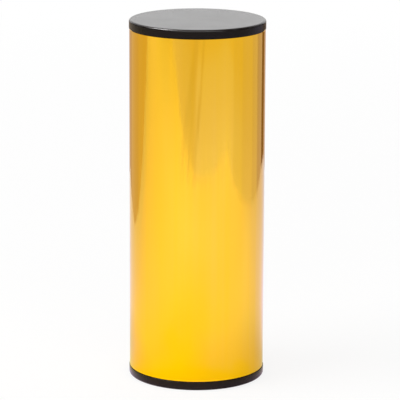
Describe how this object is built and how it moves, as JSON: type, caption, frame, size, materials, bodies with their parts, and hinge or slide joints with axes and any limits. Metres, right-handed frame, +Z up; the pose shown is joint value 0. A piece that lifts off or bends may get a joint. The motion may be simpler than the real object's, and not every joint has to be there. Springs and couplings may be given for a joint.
{
  "type": "percussion shaker",
  "caption": "Upright cylindrical hand shaker: a polished gold aluminium tube closed by black plastic end caps, with loose steel shot sealed inside that rattles along it.",
  "frame": {"origin": "centre of the bottom cap's outer face, on the surface that the shaker stands on", "axes": "+Z up along the tube's axis; the picture looks along +Y from slightly above, with +X to the right"},
  "size_m": [0.0484, 0.0484, 0.1289],
  "materials": {
    "gold_tube": "drawn tube, polished bright and gold anodised",
    "black_cap": "moulded black, fine satin texture on the face, smoother rim",
    "steel_shot": "tumbled bright steel balls"
  },
  "bodies": {
    "shell": {"body_tube": "gold_tube", "top_cap": "black_cap", "bottom_cap": "black_cap"},
    "shot_01": {"shot_01": "steel_shot"},
    "shot_02": {"shot_02": "steel_shot"},
    "shot_03": {"shot_03": "steel_shot"},
    "shot_04": {"shot_04": "steel_shot"},
    "shot_05": {"shot_05": "steel_shot"},
    "shot_06": {"shot_06": "steel_shot"},
    "shot_07": {"shot_07": "steel_shot"},
    "shot_08": {"shot_08": "steel_shot"},
    "shot_09": {"shot_09": "steel_shot"},
    "shot_10": {"shot_10": "steel_shot"},
    "shot_11": {"shot_11": "steel_shot"},
    "shot_12": {"shot_12": "steel_shot"},
    "shot_13": {"shot_13": "steel_shot"},
    "shot_14": {"shot_14": "steel_shot"},
    "shot_15": {"shot_15": "steel_shot"},
    "shot_16": {"shot_16": "steel_shot"},
    "shot_17": {"shot_17": "steel_shot"},
    "shot_18": {"shot_18": "steel_shot"},
    "shot_19": {"shot_19": "steel_shot"},
    "shot_20": {"shot_20": "steel_shot"},
    "shot_21": {"shot_21": "steel_shot"},
    "shot_22": {"shot_22": "steel_shot"},
    "shot_23": {"shot_23": "steel_shot"},
    "shot_24": {"shot_24": "steel_shot"},
    "shot_25": {"shot_25": "steel_shot"},
    "shot_26": {"shot_26": "steel_shot"},
    "shot_27": {"shot_27": "steel_shot"},
    "shot_28": {"shot_28": "steel_shot"},
    "shot_29": {"shot_29": "steel_shot"},
    "shot_30": {"shot_30": "steel_shot"},
    "shot_31": {"shot_31": "steel_shot"},
    "shot_32": {"shot_32": "steel_shot"},
    "shot_33": {"shot_33": "steel_shot"},
    "shot_34": {"shot_34": "steel_shot"},
    "shot_35": {"shot_35": "steel_shot"},
    "shot_36": {"shot_36": "steel_shot"},
    "shot_37": {"shot_37": "steel_shot"},
    "shot_38": {"shot_38": "steel_shot"},
    "shot_39": {"shot_39": "steel_shot"},
    "shot_40": {"shot_40": "steel_shot"},
    "shot_41": {"shot_41": "steel_shot"},
    "shot_42": {"shot_42": "steel_shot"},
    "shot_43": {"shot_43": "steel_shot"},
    "shot_44": {"shot_44": "steel_shot"},
    "shot_45": {"shot_45": "steel_shot"},
    "shot_46": {"shot_46": "steel_shot"},
    "shot_47": {"shot_47": "steel_shot"},
    "shot_48": {"shot_48": "steel_shot"},
    "shot_49": {"shot_49": "steel_shot"},
    "shot_50": {"shot_50": "steel_shot"},
    "shot_51": {"shot_51": "steel_shot"},
    "shot_52": {"shot_52": "steel_shot"}
  },
  "joints": [
    {"name": "shot_01_travel", "type": "slide", "parent": "shell", "child": "shot_01", "axis": [0, 0, 1], "range_m": [0, 0.119]},
    {"name": "shot_02_travel", "type": "slide", "parent": "shell", "child": "shot_02", "axis": [0, 0, 1], "range_m": [0, 0.119]},
    {"name": "shot_03_travel", "type": "slide", "parent": "shell", "child": "shot_03", "axis": [0, 0, 1], "range_m": [0, 0.119]},
    {"name": "shot_04_travel", "type": "slide", "parent": "shell", "child": "shot_04", "axis": [0, 0, 1], "range_m": [0, 0.119]},
    {"name": "shot_05_travel", "type": "slide", "parent": "shell", "child": "shot_05", "axis": [0, 0, 1], "range_m": [0, 0.119]},
    {"name": "shot_06_travel", "type": "slide", "parent": "shell", "child": "shot_06", "axis": [0, 0, 1], "range_m": [0, 0.119]},
    {"name": "shot_07_travel", "type": "slide", "parent": "shell", "child": "shot_07", "axis": [0, 0, 1], "range_m": [0, 0.119]},
    {"name": "shot_08_travel", "type": "slide", "parent": "shell", "child": "shot_08", "axis": [0, 0, 1], "range_m": [0, 0.119]},
    {"name": "shot_09_travel", "type": "slide", "parent": "shell", "child": "shot_09", "axis": [0, 0, 1], "range_m": [0, 0.119]},
    {"name": "shot_10_travel", "type": "slide", "parent": "shell", "child": "shot_10", "axis": [0, 0, 1], "range_m": [0, 0.119]},
    {"name": "shot_11_travel", "type": "slide", "parent": "shell", "child": "shot_11", "axis": [0, 0, 1], "range_m": [0, 0.119]},
    {"name": "shot_12_travel", "type": "slide", "parent": "shell", "child": "shot_12", "axis": [0, 0, 1], "range_m": [0, 0.119]},
    {"name": "shot_13_travel", "type": "slide", "parent": "shell", "child": "shot_13", "axis": [0, 0, 1], "range_m": [0, 0.119]},
    {"name": "shot_14_travel", "type": "slide", "parent": "shell", "child": "shot_14", "axis": [0, 0, 1], "range_m": [0, 0.119]},
    {"name": "shot_15_travel", "type": "slide", "parent": "shell", "child": "shot_15", "axis": [0, 0, 1], "range_m": [0, 0.119]},
    {"name": "shot_16_travel", "type": "slide", "parent": "shell", "child": "shot_16", "axis": [0, 0, 1], "range_m": [0, 0.119]},
    {"name": "shot_17_travel", "type": "slide", "parent": "shell", "child": "shot_17", "axis": [0, 0, 1], "range_m": [0, 0.119]},
    {"name": "shot_18_travel", "type": "slide", "parent": "shell", "child": "shot_18", "axis": [0, 0, 1], "range_m": [0, 0.119]},
    {"name": "shot_19_travel", "type": "slide", "parent": "shell", "child": "shot_19", "axis": [0, 0, 1], "range_m": [0, 0.119]},
    {"name": "shot_20_travel", "type": "slide", "parent": "shell", "child": "shot_20", "axis": [0, 0, 1], "range_m": [0, 0.119]},
    {"name": "shot_21_travel", "type": "slide", "parent": "shell", "child": "shot_21", "axis": [0, 0, 1], "range_m": [0, 0.119]},
    {"name": "shot_22_travel", "type": "slide", "parent": "shell", "child": "shot_22", "axis": [0, 0, 1], "range_m": [0, 0.119]},
    {"name": "shot_23_travel", "type": "slide", "parent": "shell", "child": "shot_23", "axis": [0, 0, 1], "range_m": [0, 0.119]},
    {"name": "shot_24_travel", "type": "slide", "parent": "shell", "child": "shot_24", "axis": [0, 0, 1], "range_m": [0, 0.119]},
    {"name": "shot_25_travel", "type": "slide", "parent": "shell", "child": "shot_25", "axis": [0, 0, 1], "range_m": [0, 0.119]},
    {"name": "shot_26_travel", "type": "slide", "parent": "shell", "child": "shot_26", "axis": [0, 0, 1], "range_m": [0, 0.119]},
    {"name": "shot_27_travel", "type": "slide", "parent": "shell", "child": "shot_27", "axis": [0, 0, 1], "range_m": [0, 0.119]},
    {"name": "shot_28_travel", "type": "slide", "parent": "shell", "child": "shot_28", "axis": [0, 0, 1], "range_m": [0, 0.119]},
    {"name": "shot_29_travel", "type": "slide", "parent": "shell", "child": "shot_29", "axis": [0, 0, 1], "range_m": [0, 0.119]},
    {"name": "shot_30_travel", "type": "slide", "parent": "shell", "child": "shot_30", "axis": [0, 0, 1], "range_m": [0, 0.119]},
    {"name": "shot_31_travel", "type": "slide", "parent": "shell", "child": "shot_31", "axis": [0, 0, 1], "range_m": [0, 0.119]},
    {"name": "shot_32_travel", "type": "slide", "parent": "shell", "child": "shot_32", "axis": [0, 0, 1], "range_m": [0, 0.119]},
    {"name": "shot_33_travel", "type": "slide", "parent": "shell", "child": "shot_33", "axis": [0, 0, 1], "range_m": [0, 0.119]},
    {"name": "shot_34_travel", "type": "slide", "parent": "shell", "child": "shot_34", "axis": [0, 0, 1], "range_m": [0, 0.119]},
    {"name": "shot_35_travel", "type": "slide", "parent": "shell", "child": "shot_35", "axis": [0, 0, 1], "range_m": [0, 0.119]},
    {"name": "shot_36_travel", "type": "slide", "parent": "shell", "child": "shot_36", "axis": [0, 0, 1], "range_m": [0, 0.119]},
    {"name": "shot_37_travel", "type": "slide", "parent": "shell", "child": "shot_37", "axis": [0, 0, 1], "range_m": [0, 0.119]},
    {"name": "shot_38_travel", "type": "slide", "parent": "shell", "child": "shot_38", "axis": [0, 0, 1], "range_m": [0, 0.119]},
    {"name": "shot_39_travel", "type": "slide", "parent": "shell", "child": "shot_39", "axis": [0, 0, 1], "range_m": [0, 0.119]},
    {"name": "shot_40_travel", "type": "slide", "parent": "shell", "child": "shot_40", "axis": [0, 0, 1], "range_m": [0, 0.119]},
    {"name": "shot_41_travel", "type": "slide", "parent": "shell", "child": "shot_41", "axis": [0, 0, 1], "range_m": [0, 0.119]},
    {"name": "shot_42_travel", "type": "slide", "parent": "shell", "child": "shot_42", "axis": [0, 0, 1], "range_m": [0, 0.119]},
    {"name": "shot_43_travel", "type": "slide", "parent": "shell", "child": "shot_43", "axis": [0, 0, 1], "range_m": [0, 0.119]},
    {"name": "shot_44_travel", "type": "slide", "parent": "shell", "child": "shot_44", "axis": [0, 0, 1], "range_m": [0, 0.119]},
    {"name": "shot_45_travel", "type": "slide", "parent": "shell", "child": "shot_45", "axis": [0, 0, 1], "range_m": [0, 0.119]},
    {"name": "shot_46_travel", "type": "slide", "parent": "shell", "child": "shot_46", "axis": [0, 0, 1], "range_m": [0, 0.119]},
    {"name": "shot_47_travel", "type": "slide", "parent": "shell", "child": "shot_47", "axis": [0, 0, 1], "range_m": [0, 0.119]},
    {"name": "shot_48_travel", "type": "slide", "parent": "shell", "child": "shot_48", "axis": [0, 0, 1], "range_m": [0, 0.119]},
    {"name": "shot_49_travel", "type": "slide", "parent": "shell", "child": "shot_49", "axis": [0, 0, 1], "range_m": [0, 0.119]},
    {"name": "shot_50_travel", "type": "slide", "parent": "shell", "child": "shot_50", "axis": [0, 0, 1], "range_m": [0, 0.119]},
    {"name": "shot_51_travel", "type": "slide", "parent": "shell", "child": "shot_51", "axis": [0, 0, 1], "range_m": [0, 0.119]},
    {"name": "shot_52_travel", "type": "slide", "parent": "shell", "child": "shot_52", "axis": [0, 0, 1], "range_m": [0, 0.119]}
  ]
}
